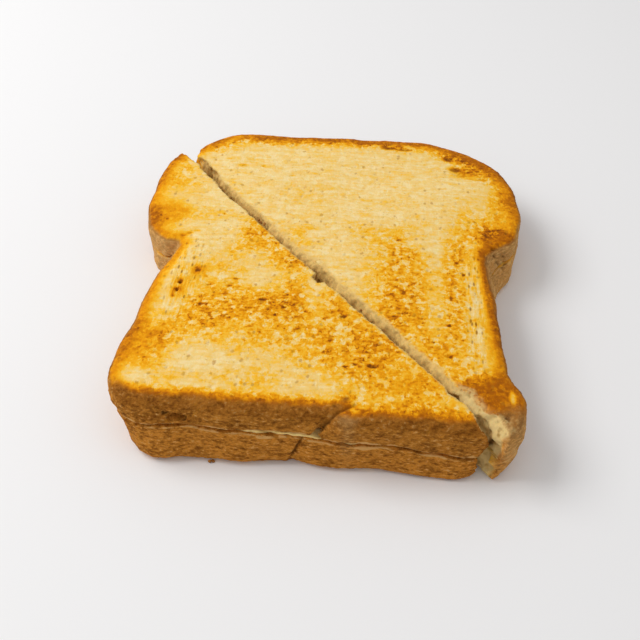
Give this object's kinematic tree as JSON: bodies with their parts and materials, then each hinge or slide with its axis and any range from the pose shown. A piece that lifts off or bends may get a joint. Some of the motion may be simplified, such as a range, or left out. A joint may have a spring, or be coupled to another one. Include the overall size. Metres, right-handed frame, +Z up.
{
  "type": "toasted sandwich",
  "caption": "Pressed toasted sandwich of tin-loaf bread with a thin creamy filling, cut corner to corner, the halves lying a little apart.",
  "frame": {"origin": "on the surface that the sandwich lies on, under the middle of its length and width", "axes": "+Z up through the slices, +Y from the flat base of the loaf towards its domed crown, +X to the right with the flat base towards the viewer"},
  "size_m": [0.1248, 0.1434, 0.0183],
  "materials": {
    "upper_bread": "matte toasted bread: golden face with orange and brown toasting, brown crust round the side",
    "lower_bread": "matte bread with a brown, finely wrinkled crust round the side",
    "cream_filling": "soft pale cream filling, satin"
  },
  "bodies": {
    "root": {"lower_slice_back_half": "lower_bread", "filling_back_half": "cream_filling", "upper_slice_back_half": "upper_bread", "lower_slice_front_half": "lower_bread", "filling_front_half": "cream_filling", "upper_slice_front_half": "upper_bread"}
  },
  "joints": []
}
